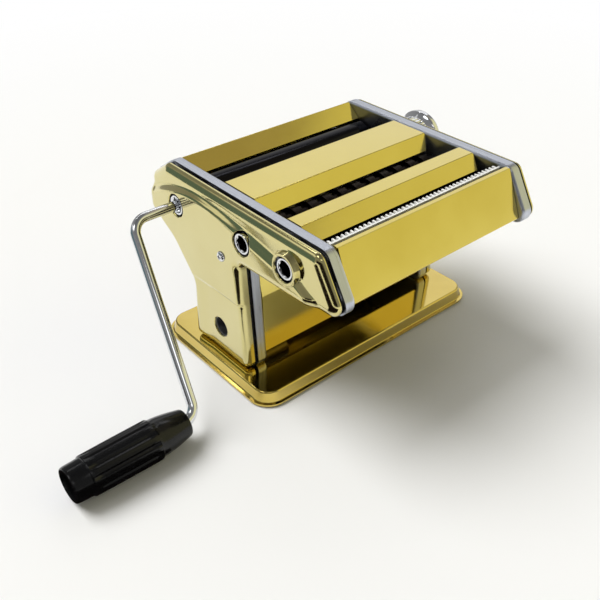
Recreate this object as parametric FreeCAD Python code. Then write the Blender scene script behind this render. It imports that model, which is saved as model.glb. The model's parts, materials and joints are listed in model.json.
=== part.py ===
"""Hand-cranked pasta roller machine: 150 mm sheet rollers, a wide and a fine cutter pair.

Frame in mm: X along the rollers (the crank is on the -X side), -Y is the front, +Z is up.
The origin is the centre of the underside. Parts on a side are built outwards along u = |X|.
"""
import FreeCAD, Part
import math
import os

V = FreeCAD.Vector
X_AXIS = V(1, 0, 0)

# ---- driving sizes -------------------------------------------------------------------------
mat_t = 1.0                    # non-slip sheet under the base
base_end, base_wid = 28.0, 124.4      # how far the base runs past a side plate, and its width
base_corner_r = 16.0
base_lip_h = 1.6               # flat lip round the foot of the base
base_lip_w = 1.8
base_h = 9.0                   # pressed tray, above the sheet
base_slope = 2.8               # how far the tray's wall leans in
base_edge_r = 1.5
base_wall = 1.2
mat_inset = 1.2

half_gap = 77.0                # centre to the inner face of a side plate
base_len = 2 * (half_gap + base_end)
web_t = 1.2                    # side plate sheet
flange_w = 7.7                 # side plate flange, out from the inner face
top_z = 134.5
plate_edge_r = 2.0
rim_gap = 0.9                  # shadow gap between the flange and the cover
cover_wall = 1.2
upper_face = half_gap + 15.0   # the cover's three levels, as u
arm_face = half_gap + 18.4
leg_face = half_gap + 17.0
cover_edge_r = 4.5
leg_step_z = 63.0

socket_y, socket_z = 41.0, 110.0      # drive sheet roller axis
sheet_r = 13.5
sheet_nip = 0.5                       # closest gap between the sheet rollers
sheet_travel = 2.4                    # how far the gap opens
wide_y, wide_z = -31.0, 113.0         # wide cutter, driven roller
fine_y, fine_z = -72.0, 115.0         # fine cutter, driven roller
cutter_r = 10.2
cutter_pitch_d = 18.6                 # between the two axes of a cutter pair
cutter_core_gap = 0.4
wide_step, wide_disc = 13.0, 6.4      # disc spacing and thickness
fine_step, fine_disc = 3.6, 1.7
roller_half = half_gap - 1.2
journal_r = 5.0
small_journal_r = 4.0
socket_tube_r = 6.8
hex_af = 9.6                          # hexagonal crank socket, across flats
socket_end = half_gap + 17.8          # u of the socket rings
socket_depth = 26.0
run_fit = 0.05                        # radial running clearance
slide_fit = 0.1
slot_fit = 0.4                        # round a journal in its slotted hole
bush_wall, bush_flange_t, bush_flange_r = 2.0, 1.6, 1.4
cover_hole_r = 8.25
boss_wall, boss_h = 2.3, 0.5          # raised ring round the fine cutter's socket

gear_w = 5.6
gear_gap = 0.5
clip_t, clip_wall, clip_gap = 1.0, 2.4, 0.6
journal_end = 0.6                     # what a journal shows past its gear
sheet_teeth, cutter_teeth = 15, 12
pressure_deg = 25.0
backlash = 0.3

crank_rod_r = 3.5
crank_bend_1 = V(-half_gap - 52.0, socket_y, socket_z)
crank_bend_2 = V(-half_gap - 70.8, -46.5, 14.0)
crank_bend_r1, crank_bend_r2 = 12.0, 10.0
hex_clear = 0.15                      # hex drive in its socket, per side
hex_len = 20.0
crank_in = 5.0 - half_gap             # inner end of the crank
grip_in, grip_out = -half_gap - 78.6, -half_gap - 159.2
grip_r = 13.5
grip_bore_fit = 0.08
grip_mouth_r, grip_mouth_depth = 8.6, 13.0

knob_y, knob_z = socket_y - 2 * sheet_r - sheet_nip, socket_z
knob_in, knob_drum_out, knob_out = half_gap + 22.0, half_gap + 31.0, half_gap + 39.0
knob_drum_r, knob_rim_r = 16.5, 20.0
knob_face_in = 3.0                    # depth of the knob's dished face
knob_bore_depth = 12.0
shaft_r = 5.0
regulator_bush_in, regulator_bush_r = half_gap + 11.0, 7.0
dial_turn_deg = 240.0
cam_r, cam_t = 17.0, 2.4
cam_in = half_gap + 6.0
cam_pin_r = 1.6
cam_start_r = 10.0
cam_fit = 0.25

carrier_in = half_gap + web_t + slide_fit
carrier_t = 4.0
carrier_low, carrier_high = 86.0, 118.0
carrier_half_w = 8.5
tie_bar_r = 3.0
tie_bar_z = 91.5

guard_t = 1.0
bend_r = 0.8
panel_half = half_gap - 0.3
ridge_end_cut = 7.0                   # how far the ends of the ridge fronts slant in
top_sheet = top_z - 0.5
ridge_lip = (1.5, 7.0)                # the hoods' short back flange: lean and height
middle_ridge = (10.2, -21.7, 8.0, 9.3)      # back y, front y, then the slope's reach and drop
front_ridge = (-52.0, -65.5, 9.9, 7.6)
sheet_foot_z = 18.5                   # lower edge of the leg's sheets
panel_low_z = 89.5                    # lower edge of the scrapers and the back panel

clamp_y, clamp_z = -0.6, 32.0
clamp_bore_r = 6.8
clamp_tube_r = 8.6
clamp_cover_r = 7.5
clamp_inner_u = 40.0

screw_y, screw_z = -9.0, 94.0
cover_screw_r = 1.45
post_r, post_bore = 4.0, 1.5
rod_r = 3.0
rod_screw_r = 1.5
screw_hole_r = 2.2
foot_bolt_r = 2.0
nut_af = 5.6
rod_places = [(-61.0, 101.5), (-6.0, 119.0), (63.0, 110.0), (8.0, 58.0), (0.0, 18.0)]
foot_y = 20.0
foot_u = half_gap + 4.2

# side outline (y, z, corner radius), clockwise from the top front corner
side_outline = [
    (-97.0, top_z, 8.0), (57.0, top_z, 8.0), (77.0, 121.0, 9.0), (77.0, 95.0, 8.0),
    (50.0, 80.5, 30.0), (29.0, 57.0, 14.0), (31.0, mat_t + base_h, 5.5),
    (-31.0, mat_t + base_h, 5.5), (-25.0, 94.5, 5.0), (-119.5, 97.5, 8.0),
]
# the S-shaped crease of the cover: where its ramp starts and ends (y, z)
ramp_high = [(84, 109), (60, 119.5), (30, 126.3), (0, 126.3), (-34, 123.3), (-60, 118.6),
             (-80, 114.5), (-92, 107.5), (-106, 102), (-126, 96.5)]
ramp_low = [(84, 96), (60, 111.5), (30, 121.2), (0, 121.5), (-34, 114.5), (-60, 110),
            (-80, 106), (-92, 101.5), (-106, 98.4), (-126, 93.5)]


# ---- general shapes ------------------------------------------------------------------------
def at_x(x):
    return lambda a, b: V(x, a, b)


def at_z(z):
    return lambda a, b: V(a, b, z)


def turn_sign(points):
    total = 0.0
    for (a, b, _), (c, d, _) in zip(points, points[1:] + points[:1]):
        total += a * d - b * c
    return 1.0 if total > 0 else -1.0


def inset(points, distance):
    """The same outline moved inwards, its corner radii following."""
    sign = turn_sign(points)
    n = len(points)
    lines = []
    for i in range(n):
        (a, b, _), (c, d, _) = points[i], points[(i + 1) % n]
        size = math.hypot(c - a, d - b)
        ux, uy = (c - a) / size, (d - b) / size
        lines.append((a - sign * uy * distance, b + sign * ux * distance, ux, uy))
    moved = []
    for i in range(n):
        px, py, ux, uy = lines[i - 1]
        qx, qy, vx, vy = lines[i]
        cross = ux * vy - uy * vx
        t = ((qx - px) * vy - (qy - py) * vx) / cross
        radius = points[i][2] - distance if cross * sign > 0 else points[i][2] + distance
        moved.append((px + ux * t, py + uy * t, max(radius, 0.0)))
    return moved


def outline_wire(points, place):
    """Closed wire through (a, b, radius) corners, each rounded by a tangent arc."""
    n = len(points)
    ends = []
    for i in range(n):
        a, b, r = points[i]
        before, after = points[i - 1], points[(i + 1) % n]
        u = V(before[0] - a, before[1] - b, 0).normalize()
        w = V(after[0] - a, after[1] - b, 0).normalize()
        corner = V(a, b, 0)
        if r < 1e-6:
            ends.append((corner, None, corner))
            continue
        half = u.getAngle(w) / 2
        reach = r / math.tan(half)
        middle = (u + w).normalize() * (r / math.sin(half) - r)
        ends.append((corner + u * reach, corner + middle, corner + w * reach))
    edges = []
    for i in range(n):
        start, middle, end = ends[i]
        if middle is not None:
            edges.append(Part.Arc(place(start.x, start.y), place(middle.x, middle.y),
                                  place(end.x, end.y)).toShape())
        following = ends[(i + 1) % n][0]
        if (following - end).Length > 1e-6:
            edges.append(Part.LineSegment(place(end.x, end.y),
                                          place(following.x, following.y)).toShape())
    return Part.Wire(edges)


def slab(points, x0, x1):
    """A (y, z) outline pressed from x0 to x1."""
    return Part.Face(outline_wire(points, at_x(x0))).extrude(V(x1 - x0, 0, 0))


def rod(x0, x1, y, z, r):
    low, high = min(x0, x1), max(x0, x1)
    return Part.makeCylinder(r, high - low, V(low, y, z), X_AXIS)


def tube(x0, x1, y, z, r_out, r_in):
    return rod(x0, x1, y, z, r_out).cut(rod(x0 - 1 if x0 < x1 else x0 + 1,
                                            x1 + 1 if x0 < x1 else x1 - 1, y, z, r_in))


def block(x0, x1, y0, y1, z0, z1):
    return Part.makeBox(x1 - x0, y1 - y0, z1 - z0, V(x0, y0, z0))


def hexagon(a, b, af, turn=0.0):
    corner = af / math.sqrt(3.0)
    angles = [math.radians(60 * k + turn) for k in range(6)]
    return [(a + corner * math.cos(angle), b + corner * math.sin(angle), 0.0) for angle in angles]


def hex_bar(x0, x1, y, z, af):
    """Hexagonal bar along X, a flat facing up."""
    return slab(hexagon(y, z, af), x0, x1)


def turned(profile, y, z):
    """A lathe part on the X axis through (y, z), from (x, r) points."""
    points = [V(x, y, z + r) for x, r in profile]
    wire = Part.makePolygon(points + points[:1])
    return Part.Face(wire).revolve(V(0, y, z), X_AXIS, 360)


def upright(x, y, z, r, height):
    return Part.makeCylinder(r, height, V(x, y, z), V(0, 0, 1))


def mirrored(shape):
    return shape.mirror(V(0, 0, 0), X_AXIS)


def join(shapes):
    return shapes[0].multiFuse(shapes[1:]) if len(shapes) > 1 else shapes[0]


def face_edges(solid, x):
    return [e for e in solid.Edges
            if abs(e.BoundBox.XMin - x) < 1e-5 and abs(e.BoundBox.XMax - x) < 1e-5]


def bent_sheet(line, t, r, half_len):
    """Sheet metal bent along a (y, z) line, t thick to the left of it, lying along X."""
    n = len(line)
    left, right = [], []
    for i in range(n):
        a, b = line[i]
        before = line[max(i - 1, 0)]
        after = line[min(i + 1, n - 1)]
        d0 = V(a - before[0], b - before[1], 0)
        d1 = V(after[0] - a, after[1] - b, 0)
        if i == 0:
            d0 = d1
        if i == n - 1:
            d1 = d0
        d0.normalize()
        d1.normalize()
        n0, n1 = V(-d0.y, d0.x, 0), V(-d1.y, d1.x, 0)
        mitre = (n0 + n1).normalize()
        reach = t / mitre.dot(n0)
        cross = d0.x * d1.y - d0.y * d1.x
        inner, outer = (0.0, 0.0) if abs(cross) < 1e-6 else (r, r + t)
        right.append((a, b, outer if cross > 0 else inner))
        left.append((a + mitre.x * reach, b + mitre.y * reach, inner if cross > 0 else outer))
    return slab(right + left[::-1], -half_len, half_len)


def involute_gear(teeth, pitch_r, x0, x1, y, z, phase_deg):
    """Stub-tooth spur gear on the X axis; a tooth points at phase_deg from +Y."""
    module = 2 * pitch_r / teeth
    alpha = math.radians(pressure_deg)
    base_r = pitch_r * math.cos(alpha)
    tip_r, root_r = pitch_r + 0.8 * module, pitch_r - 1.05 * module
    half_pitch = (math.pi * module / 2 - backlash) / (2 * pitch_r)
    involute = lambda angle: math.tan(angle) - angle
    flank = []
    for k in range(6):
        r = root_r + (tip_r - root_r) * k / 5.0
        local = math.acos(min(1.0, base_r / r))
        flank.append((r, half_pitch + involute(alpha) - involute(local)))
    points = []
    for tooth in range(teeth):
        middle = math.radians(phase_deg) + 2 * math.pi * tooth / teeth
        for r, half in flank:
            points.append((y + r * math.cos(middle - half), z + r * math.sin(middle - half), 0.0))
        for r, half in reversed(flank):
            points.append((y + r * math.cos(middle + half), z + r * math.sin(middle + half), 0.0))
    return slab(points, x0, x1)


def save(name, shape):
    shape.exportStep("parts/%s.step" % name)
    print("%-24s solids %d  volume %.0f  valid %s"
          % (name, len(shape.Solids), shape.Volume, shape.isValid()))


# ---- base ----------------------------------------------------------------------------------
def base_outline(moved_in):
    half_x, half_y = base_len / 2 - moved_in, base_wid / 2 - moved_in
    r = base_corner_r - moved_in
    return [(-half_x, -half_y, r), (half_x, -half_y, r), (half_x, half_y, r), (-half_x, half_y, r)]


def flat_block(moved_in, z, height):
    face = Part.Face(outline_wire(base_outline(moved_in), at_z(z)))
    return face.extrude(V(0, 0, height))


def leaning_block(low_in, high_in, z0, z1):
    low = outline_wire(base_outline(low_in), at_z(z0))
    high = outline_wire(base_outline(high_in), at_z(z1))
    return Part.makeLoft([low, high], True, True)


def foot_places():
    return [(side * foot_u, y) for side in (-1, 1) for y in (-foot_y, foot_y)]


def base_tray():
    low, top = mat_t, mat_t + base_h
    body = leaning_block(base_lip_w, base_lip_w + base_slope, low, top)
    rim = [e for e in body.Edges if abs(e.BoundBox.ZMin - top) < 1e-5]
    body = body.makeFillet(base_edge_r, rim)
    inner = base_lip_w + base_wall
    hollow = leaning_block(inner, inner + base_slope, low - 0.01, top - base_wall)
    tray = flat_block(0, low, base_lip_h).fuse(body).cut(hollow)
    holes = [upright(x, y, low, screw_hole_r, base_h + 1) for x, y in foot_places()]
    return tray.cut(join(holes)).removeSplitter()


def base_mat():
    return flat_block(mat_inset, 0, mat_t)


# ---- side plates and covers ----------------------------------------------------------------
def side_plate(left):
    """Pressed plate with an outward flange all round, built at +X."""
    body = slab(side_outline, half_gap, half_gap + flange_w)
    body = body.makeFillet(plate_edge_r, face_edges(body, half_gap))
    plate = body.cut(slab(inset(side_outline, web_t), half_gap + web_t, half_gap + flange_w + 1))
    x0, x1 = half_gap - 1, half_gap + web_t + 1
    holes = []
    driven = [(socket_y, socket_z), (wide_y, wide_z), (fine_y, fine_z)]
    for y, z in driven:
        holes.append(rod(x0, x1, y, z, bush_r(socket_tube_r if left else journal_r)))
    for y, z in follower_axes():
        holes.append(rod(x0, x1, y, z, bush_r(small_journal_r)))
    slots = [(knob_z, journal_r + slot_fit), (tie_bar_z, tie_bar_r + slot_fit)]
    for z, r in slots:
        far = knob_y - sheet_travel
        holes.append(join([rod(x0, x1, knob_y, z, r), rod(x0, x1, far, z, r),
                           block(x0, x1, far, knob_y, z - r, z + r)]))
    for y, z in rod_places:
        holes.append(rod(x0, x1, y, z, screw_hole_r))
    for y in (-foot_y, foot_y):
        holes.append(upright(foot_u, y, mat_t + base_h - 1, screw_hole_r, web_t + 2))
    if left:
        holes.append(rod(x0, x1, clamp_y, clamp_z, clamp_tube_r))
    return plate.cut(join(holes))


def crease_wire(u, drop):
    """The crease's ramp at u, closed far above the cover."""
    share = (arm_face - u) / (arm_face - upper_face)
    points = [V(u - drop, l[0] + (h[0] - l[0]) * share, l[1] + (h[1] - l[1]) * share)
              for l, h in zip(ramp_low, ramp_high)]
    curve = Part.BSplineCurve()
    curve.interpolate(points)
    first, last = points[0], points[-1]
    high = 2 * top_z
    over_last, over_first = V(u - drop, last.y, high), V(u - drop, first.y, high)
    return Part.Wire([curve.toShape(), Part.LineSegment(last, over_last).toShape(),
                      Part.LineSegment(over_last, over_first).toShape(),
                      Part.LineSegment(over_first, first).toShape()])


def above_crease(drop):
    """What the arm's thicker face loses: all above the ramp, and straight down from its foot."""
    outer, foot = arm_face + 2.0, upper_face - 1.0
    ramp = Part.makeLoft([crease_wire(outer, drop), crease_wire(foot, drop)], True, True)
    return ramp.fuse(Part.Face(crease_wire(foot, drop)).extrude(V(half_gap - foot, 0, 0)))


def cover_block(depth, drop):
    """The cover as a solid; depth insets its outline and drop lowers its faces."""
    rim_u = half_gap + flange_w + rim_gap - (0.5 if depth else 0.0)
    outline = inset(side_outline, rim_gap + depth)
    levels = []
    for level in (upper_face, arm_face, leg_face):
        solid = slab(outline, rim_u, level - drop)
        levels.append(solid.makeFillet(cover_edge_r - drop, face_edges(solid, level - drop)))
    upper, arm, leg = levels
    under = [(rim_u - 1, leg_step_z - 1.5), (leg_face - drop, leg_step_z - 1.5),
             (arm_face - drop, leg_step_z), (arm_face + 3, leg_step_z + 3), (arm_face + 3, -5),
             (rim_u - 1, -5)]
    under_wire = Part.makePolygon([V(u, -200, z) for u, z in under + under[:1]])
    below = Part.Face(under_wire).extrude(V(0, 400, 0))
    arm = arm.cut(above_crease(drop)).cut(below)
    leg = leg.common(block(rim_u - 1, arm_face, -60, 60, 0, leg_step_z + 0.5))
    return upper.fuse([arm, leg])


def side_cover(left):
    cover = cover_block(0.0, 0.0).cut(cover_block(cover_wall, cover_wall))
    inner_x = half_gap + flange_w
    openings = []
    if left:
        boss_u = arm_face + boss_h
        boss = rod(upper_face - cover_wall, boss_u, fine_y, fine_z, cover_hole_r + boss_wall)
        boss = boss.makeFillet(0.8, face_edges(boss, boss_u))
        cover = cover.fuse(boss)
        for y, z in ((socket_y, socket_z), (wide_y, wide_z), (fine_y, fine_z)):
            openings.append(rod(inner_x, arm_face + 2, y, z, cover_hole_r))
        openings.append(rod(inner_x, arm_face + 2, clamp_y, clamp_z, clamp_cover_r))
    else:
        openings.append(rod(inner_x, arm_face + 2, knob_y, knob_z, regulator_bush_r + slide_fit))
    openings.append(rod(inner_x, arm_face + 2, screw_y, screw_z, cover_screw_r + 0.25))
    return cover.cut(join(openings)).removeSplitter()


def cover_post():
    foot = half_gap + web_t
    post = rod(foot, arm_face - cover_wall, screw_y, screw_z, post_r)
    return post.cut(rod(foot + 3, arm_face + 1, screw_y, screw_z, post_bore))


def cover_screw():
    head = turned([(arm_face, 0), (arm_face, 3.7), (arm_face + 0.7, 3.5), (arm_face + 1.5, 2.4),
                   (arm_face + 1.8, 0.8), (arm_face + 1.8, 0)], screw_y, screw_z)
    shank = rod(arm_face - 12, arm_face + 0.2, screw_y, screw_z, cover_screw_r)
    screw = head.fuse(shank)
    for wide, tall in ((3.6, 0.8), (0.8, 3.6)):
        screw = screw.cut(block(arm_face + 0.7, arm_face + 3, screw_y - wide / 2,
                                screw_y + wide / 2, screw_z - tall / 2, screw_z + tall / 2))
    return screw


# ---- bushes, rods and screws ---------------------------------------------------------------
def bush_r(bore):
    return bore + bush_wall


def follower_axes():
    return [(wide_y - cutter_pitch_d, wide_z), (fine_y - cutter_pitch_d, fine_z)]


def bush(y, z, bore):
    """Flanged bush pressed in a side plate, built at +X."""
    inner, outer = half_gap - 0.3, half_gap + web_t
    flange = rod(outer, outer + bush_flange_t, y, z, bush_r(bore) + bush_flange_r)
    body = rod(inner, outer, y, z, bush_r(bore)).fuse(flange)
    return body.cut(rod(inner - 1, outer + 3, y, z, bore + run_fit))


def roller_bushes(left):
    bore = socket_tube_r if left else journal_r
    cutter_bore = socket_tube_r if left else small_journal_r
    bushes = [bush(socket_y, socket_z, bore), bush(wide_y, wide_z, cutter_bore),
              bush(fine_y, fine_z, cutter_bore)]
    bushes += [bush(y, z, small_journal_r) for y, z in follower_axes()]
    return bushes


def tie_rods():
    rods = []
    for y, z in rod_places:
        body = rod(-half_gap, half_gap, y, z, rod_r)
        for side in (-1, 1):
            body = body.cut(rod(side * (half_gap - 9), side * (half_gap + 1), y, z, rod_screw_r + 0.1))
        rods.append(body)
    return rods


def tie_rod_screws():
    screws = []
    for y, z in rod_places:
        head = hex_bar(half_gap + web_t, half_gap + web_t + 2.4, y, z, nut_af)
        shank = rod(half_gap - 8, half_gap + web_t + 0.5, y, z, rod_screw_r)
        screw = head.fuse(shank)
        screws += [screw, mirrored(screw)]
    return screws


def foot_screws():
    under = mat_t + base_h - base_wall
    head_h = 2.4
    found = []
    for x, y in foot_places():
        head = upright(x, y, under - head_h, 3.6, head_h)
        found.append(head.fuse(upright(x, y, under - 0.4, foot_bolt_r, 7.4)))
    return found


def foot_nuts():
    z = mat_t + base_h + web_t
    found = []
    for x, y in foot_places():
        nut = Part.Face(outline_wire(hexagon(x, y, nut_af, 30), at_z(z))).extrude(V(0, 0, 3.0))
        found.append(nut.cut(upright(x, y, z - 1, foot_bolt_r + 0.1, 5)))
    return found


def clamp_socket():
    """Tube in the leg that takes the pin of the table clamp."""
    outer_u = leg_face - cover_wall - 0.2
    return tube(-outer_u, -clamp_inner_u, clamp_y, clamp_z, clamp_tube_r, clamp_bore_r)


# ---- sheet metal between the sides ---------------------------------------------------------
def ridge(back_y, front_y, reach, drop):
    """Hood between two slots: short back flange, flat top and a sloping front."""
    lean, flange = ridge_lip
    line = [(back_y - lean, top_sheet - flange), (back_y, top_sheet), (front_y, top_sheet),
            (front_y - reach, top_sheet - drop)]
    body = bent_sheet(line, guard_t, bend_r, panel_half)
    end, low = panel_half + 1, top_sheet - drop - 2
    for side in (-1, 1):
        corners = [(side * end, top_sheet + 0.01), (side * (panel_half - ridge_end_cut), low),
                   (side * end, low)]
        wedge = Part.makePolygon([V(x, front_y - 30, z) for x, z in corners + corners[:1]])
        body = body.cut(Part.Face(wedge).extrude(V(0, 30 - lean, 0)))
    return body


def front_panel():
    line = [(-106.5, 100.6), (-110.3, 101.9), (-97.0, top_sheet), (-93.2, top_sheet), (-92.8, 130.6)]
    return bent_sheet(line, -guard_t, bend_r, panel_half)


def back_panel():
    line = [(44.6, 124.6), (56.8, top_sheet), (76.2, 120.6), (76.2, 97.5), (62.0, panel_low_z)]
    return bent_sheet(line, -guard_t, bend_r, panel_half)


def leg_front_sheet():
    line = [(-21.0, 90.0), (-26.6, leg_step_z), (-28.4, sheet_foot_z)]
    return bent_sheet(line, guard_t, bend_r, panel_half)


def leg_rear_sheet():
    line = [(14.0, 84.0), (18.0, leg_step_z), (23.5, sheet_foot_z)]
    return bent_sheet(line, -guard_t, bend_r, panel_half)


# ---- rollers and gears ---------------------------------------------------------------------
def plain_roller(y, z, left_r, left_end, right_r, right_end):
    return turned([(-left_end, 0), (-left_end, left_r), (-roller_half, left_r),
                   (-roller_half, sheet_r - 0.6), (-roller_half + 0.6, sheet_r),
                   (roller_half - 0.6, sheet_r), (roller_half, sheet_r - 0.6),
                   (roller_half, right_r), (right_end, right_r), (right_end, 0)], y, z)


def places_along(step, width, shifted, half_len):
    """Centres of evenly spaced discs or teeth, even about the middle."""
    start = step / 2 if shifted else 0.0
    count = int((half_len - width / 2 - start) / step + 1e-6) + 1
    right = [start + k * step for k in range(count)]
    return sorted(set([-c for c in right] + right))


def disc_roller(y, z, left_r, left_end, right_end, step, disc, shifted):
    """Cutter roller: discs on a core, half a step along when shifted."""
    core = cutter_pitch_d - cutter_r - cutter_core_gap
    centres = places_along(step, disc, shifted, roller_half - 0.4)
    profile = [(-left_end, 0), (-left_end, left_r), (-roller_half, left_r), (-roller_half, core)]
    for c in centres:
        profile += [(c - disc / 2, core), (c - disc / 2, cutter_r), (c + disc / 2, cutter_r),
                    (c + disc / 2, core)]
    profile += [(roller_half, core), (roller_half, small_journal_r), (right_end, small_journal_r),
                (right_end, 0)]
    return turned(profile, y, z)


def with_socket(roller, y, z):
    socket = hex_bar(-socket_end - 1, -socket_end + socket_depth, y, z, hex_af)
    lead = turned([(-socket_end - 0.01, 0), (-socket_end - 0.01, hex_af / 2 + 0.9),
                   (-socket_end + 1.2, hex_af / 2 - 0.2), (-socket_end + 1.2, 0)], y, z)
    return roller.cut(socket).cut(lead)


left_gear_in = carrier_in + carrier_t + gear_gap
bush_out = half_gap + web_t + bush_flange_t
right_gear_in = bush_out + gear_gap
gear_end = right_gear_in + gear_w + journal_end
clip_in = bush_out + clip_gap


def gear_on(teeth, pitch_r, side, y, z, phase, bore):
    start = left_gear_in if side < 0 else right_gear_in
    x0, x1 = sorted((side * start, side * (start + gear_w)))
    return involute_gear(teeth, pitch_r, x0, x1, y, z, phase).cut(rod(x0 - 1, x1 + 1, y, z, bore))


def build_rollers():
    sheet_pitch = (2 * sheet_r + sheet_nip) / 2
    cutter_pitch = cutter_pitch_d / 2
    drive = plain_roller(socket_y, socket_z, socket_tube_r, socket_end, journal_r,
                         clip_in + clip_t + 2.0)
    save("drive_sheet_roller", with_socket(drive, socket_y, socket_z))
    save("drive_sheet_gear", gear_on(sheet_teeth, sheet_pitch, -1, socket_y, socket_z, 180,
                                     socket_tube_r))
    save("drive_roller_clip", tube(clip_in, clip_in + clip_t, socket_y, socket_z,
                                   journal_r + clip_wall, journal_r))
    save("adjusting_sheet_roller", plain_roller(knob_y, knob_z, journal_r,
                                                left_gear_in + gear_w + journal_end, journal_r,
                                                carrier_in + carrier_t + 0.2))
    half_tooth = 180.0 / sheet_teeth
    save("adjusting_sheet_gear", gear_on(sheet_teeth, sheet_pitch, -1, knob_y, knob_z, half_tooth,
                                         journal_r))
    pairs = (("wide_cutter", wide_y, wide_z, wide_step, wide_disc),
             ("fine_cutter", fine_y, fine_z, fine_step, fine_disc))
    for name, y, z, step, disc in pairs:
        driven = disc_roller(y, z, socket_tube_r, socket_end, gear_end, step, disc, False)
        save(name + "_rear_roller", with_socket(driven, y, z))
        save(name + "_rear_gear", gear_on(cutter_teeth, cutter_pitch, 1, y, z, 180, small_journal_r))
        front_y = y - cutter_pitch_d
        save(name + "_front_roller", disc_roller(front_y, z, small_journal_r, bush_out + 1.2,
                                                 gear_end, step, disc, True))
        save(name + "_front_gear", gear_on(cutter_teeth, cutter_pitch, 1, front_y, z,
                                           180.0 / cutter_teeth, small_journal_r))


# ---- combs and scrapers --------------------------------------------------------------------
def comb(spine, root, tip, z, t, step, tooth, shifted, half_len):
    """Flat comb in the XY plane: a spine from y = spine to root, teeth on to tip."""
    centres = places_along(step, tooth, not shifted, half_len - 1.5)
    points = [(-half_len, spine, 0), (-half_len, root, 0)]
    for c in centres:
        points += [(c - tooth / 2, root, 0), (c - tooth / 2, tip, 0), (c + tooth / 2, tip, 0),
                   (c + tooth / 2, root, 0)]
    points += [(half_len, root, 0), (half_len, spine, 0)]
    return Part.Face(outline_wire(points, at_z(z))).extrude(V(0, 0, t))


comb_drop = 5.4
comb_t = 1.2
comb_side_gap = 0.4
comb_reach = 0.6                      # clearance of a comb to the core and the discs
comb_spine_w = 2.0
guide_spine_y, guide_root_y, guide_tip_y = -89.4, -88.0, -85.2
guide_z, guide_t, guide_tooth = 130.2, 2.0, 1.3


def cutter_combs(y, z, step, disc):
    """The strippers under a cutter pair, one behind its rear roller and one before its front one."""
    core = cutter_pitch_d - cutter_r - cutter_core_gap
    tip = math.sqrt(core ** 2 - (comb_drop - comb_t) ** 2) + comb_reach
    root = math.sqrt(cutter_r ** 2 - (comb_drop - comb_t) ** 2) + comb_reach
    spine = root + comb_spine_w
    tooth = step - disc - 2 * comb_side_gap
    level = z - comb_drop
    front_y = y - cutter_pitch_d
    rear = comb(y + spine, y + root, y + tip, level, comb_t, step, tooth, False, panel_half)
    front = comb(front_y - spine, front_y - root, front_y - tip, level, comb_t, step, tooth,
                 True, panel_half)
    return [rear, front]


def fine_guide_comb():
    """White feed comb along the front edge of the fine slot."""
    return comb(guide_spine_y, guide_root_y, guide_tip_y, guide_z, guide_t, fine_step, guide_tooth,
                False, panel_half)


def sheet_scrapers():
    rear = bent_sheet([(45.4, 95.6), (58.0, panel_low_z)], guard_t, bend_r, panel_half)
    front = bent_sheet([(7.4, 95.0), (-6.0, panel_low_z)], -guard_t, bend_r, panel_half)
    return [rear, front]


# ---- gap regulator -------------------------------------------------------------------------
def regulator_cam():
    """Disc with a spiral slot that walks the carrier's pin in step with the dial."""
    x0, x1 = cam_in, cam_in + cam_t
    disc = rod(x0, x1, knob_y, knob_z, cam_r)
    half = cam_pin_r + cam_fit
    sides = {-1: [], 1: []}
    steps = 24
    spare = math.degrees(math.asin((cam_pin_r + 2 * cam_fit) / cam_start_r))
    for k in range(steps + 1):
        turn = -spare + (dial_turn_deg + 2 * spare) * k / steps
        r = cam_start_r + sheet_travel * turn / dial_turn_deg
        angle = math.radians(180.0 - turn)
        for side in (-1, 1):
            sides[side].append(V(x0 - 1, knob_y + (r + side * half) * math.cos(angle),
                                 knob_z + (r + side * half) * math.sin(angle)))
    curves = []
    for side in (-1, 1):
        curve = Part.BSplineCurve()
        curve.interpolate(sides[side])
        curves.append(curve.toShape())
    ends = [Part.LineSegment(sides[-1][k], sides[1][k]).toShape() for k in (0, -1)]
    slot = Part.Face(Part.Wire([curves[0], ends[1], curves[1], ends[0]]))
    return disc.cut(slot.extrude(V(cam_t + 2, 0, 0)))


def regulator_shaft():
    return rod(cam_in + cam_t, knob_in + knob_bore_depth, knob_y, knob_z, shaft_r)


def regulator_bush():
    bore, rim = shaft_r + run_fit, regulator_bush_r + 2.5
    return turned([(regulator_bush_in, bore), (regulator_bush_in, regulator_bush_r),
                   (arm_face, regulator_bush_r), (arm_face, rim), (arm_face + 1.6, rim),
                   (arm_face + 2.0, rim - 0.5), (arm_face + 2.0, bore)], knob_y, knob_z)


def regulator_knob():
    edge, rim_edge = 1.2, 1.4
    dish, bore_end = knob_out - knob_face_in, knob_in + knob_bore_depth
    profile = [(knob_in, shaft_r), (knob_in, knob_drum_r - edge), (knob_in + edge, knob_drum_r),
               (knob_drum_out, knob_drum_r), (knob_drum_out + 2.6, knob_rim_r - 0.8),
               (knob_drum_out + 3.6, knob_rim_r), (knob_out - rim_edge, knob_rim_r),
               (knob_out, knob_rim_r - rim_edge), (knob_out, 12.0), (dish, 10.5),
               (dish, 0), (bore_end, 0), (bore_end, shaft_r)]
    return turned(profile, knob_y, knob_z)


def knob_screw():
    face = knob_out - knob_face_in
    head = turned([(face, 0), (face, 4.0), (face + 1.0, 3.6), (face + 1.8, 2.0), (face + 1.8, 0)],
                  knob_y, knob_z)
    return head.cut(block(face + 0.9, face + 3, knob_y - 5, knob_y + 5, knob_z - 0.5, knob_z + 0.5))


def carrier(left):
    """Sliding bearing block of the adjusting roller, built at +X."""
    x0, x1 = carrier_in, carrier_in + carrier_t
    body = block(x0, x1, knob_y - carrier_half_w, knob_y + carrier_half_w, carrier_low, carrier_high)
    body = body.cut(rod(x0 - 1, x1 + 1, knob_y, knob_z, journal_r + run_fit))
    if not left:
        pin_y = knob_y - cam_start_r
        arm = block(x0, x1, pin_y - 2.6, knob_y - carrier_half_w, knob_z - 4, knob_z + 4)
        body = body.fuse(arm)
    return body


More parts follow.
